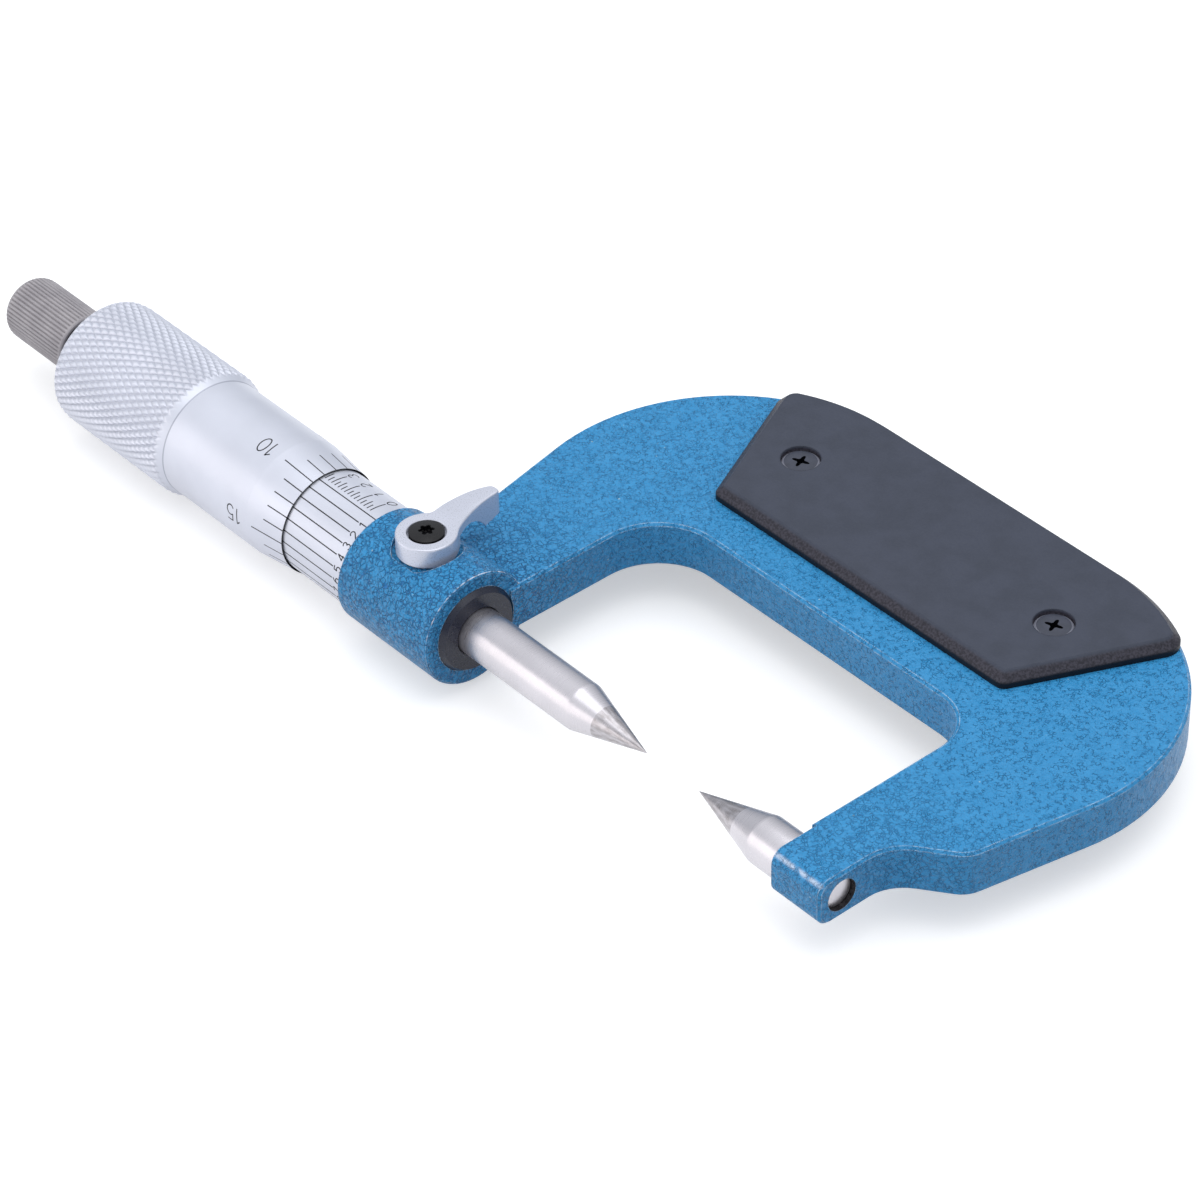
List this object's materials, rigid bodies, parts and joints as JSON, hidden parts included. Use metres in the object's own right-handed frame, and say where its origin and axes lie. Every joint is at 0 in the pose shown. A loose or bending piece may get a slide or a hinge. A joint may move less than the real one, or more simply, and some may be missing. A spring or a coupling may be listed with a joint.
{
  "type": "point micrometer",
  "caption": "Outside micrometer with conical points, a blue C-frame with grip plates, a lock lever, a graduated sleeve, a knurled thimble and a ratchet stop.",
  "frame": {"origin": "tip of the anvil's cone, on the measuring axis, at the middle of the frame's thickness", "axes": "+X along the measuring axis from the anvil towards the thimble, +Z out of the front grip plate, -Y towards the frame's bow"},
  "size_m": [0.1683, 0.0697, 0.0189],
  "materials": {
    "blue_enamel": "fine crinkle enamel",
    "ground_steel": "ground",
    "satin_chrome": "satin",
    "black_oxide": "black oxide",
    "grip_plastic": "fine matt",
    "grey_knob": "matt anodised",
    "spring_steel": "bright",
    "brass": "turned"
  },
  "bodies": {
    "frame_body": {"frame": "blue_enamel", "anvil": "ground_steel", "front_bush": "black_oxide", "inner_sleeve": "ground_steel", "adjusting_nut": "satin_chrome", "outer_sleeve": "satin_chrome", "lock_plug": "brass", "lock_washer": "spring_steel", "front_plate": "grip_plastic", "back_plate": "grip_plastic", "front_plate_screws": "black_oxide", "back_plate_screws": "black_oxide"},
    "feed": {"ratchet_screw": "ground_steel"},
    "thimble_body": {"spindle": "ground_steel", "thimble": "satin_chrome", "thimble_cone": "brass", "ratchet_seat": "ground_steel", "ratchet_washer": "spring_steel", "ratchet_spring": "spring_steel"},
    "knob_body": {"ratchet_knob": "grey_knob", "ratchet_pawl": "ground_steel"},
    "lever_body": {"lock_lever": "satin_chrome", "lock_stud": "ground_steel", "lock_screw": "black_oxide"}
  },
  "joints": [
    {"name": "spindle_feed", "type": "slide", "parent": "frame_body", "child": "feed", "axis": [1, 0, 0], "range_m": [-0.00912, 0.01627]},
    {"name": "thimble_turn", "type": "hinge", "parent": "feed", "child": "thimble_body", "pos_m": [0.1, 0, 0], "axis": [1, 0, 0], "range_deg": [-5171, 9225]},
    {"name": "ratchet_slip", "type": "hinge", "parent": "thimble_body", "child": "knob_body", "pos_m": [0.125, 0, 0], "axis": [1, 0, 0], "continuous": true},
    {"name": "lock_swing", "type": "hinge", "parent": "frame_body", "child": "lever_body", "pos_m": [0.04905, 0, 0.008], "axis": [0, 0, 1], "range_deg": [-30, 30]}
  ],
  "couplings": [
    {"joint": "thimble_turn", "follows": "spindle_feed", "rad_per_m": 9894.8}
  ]
}
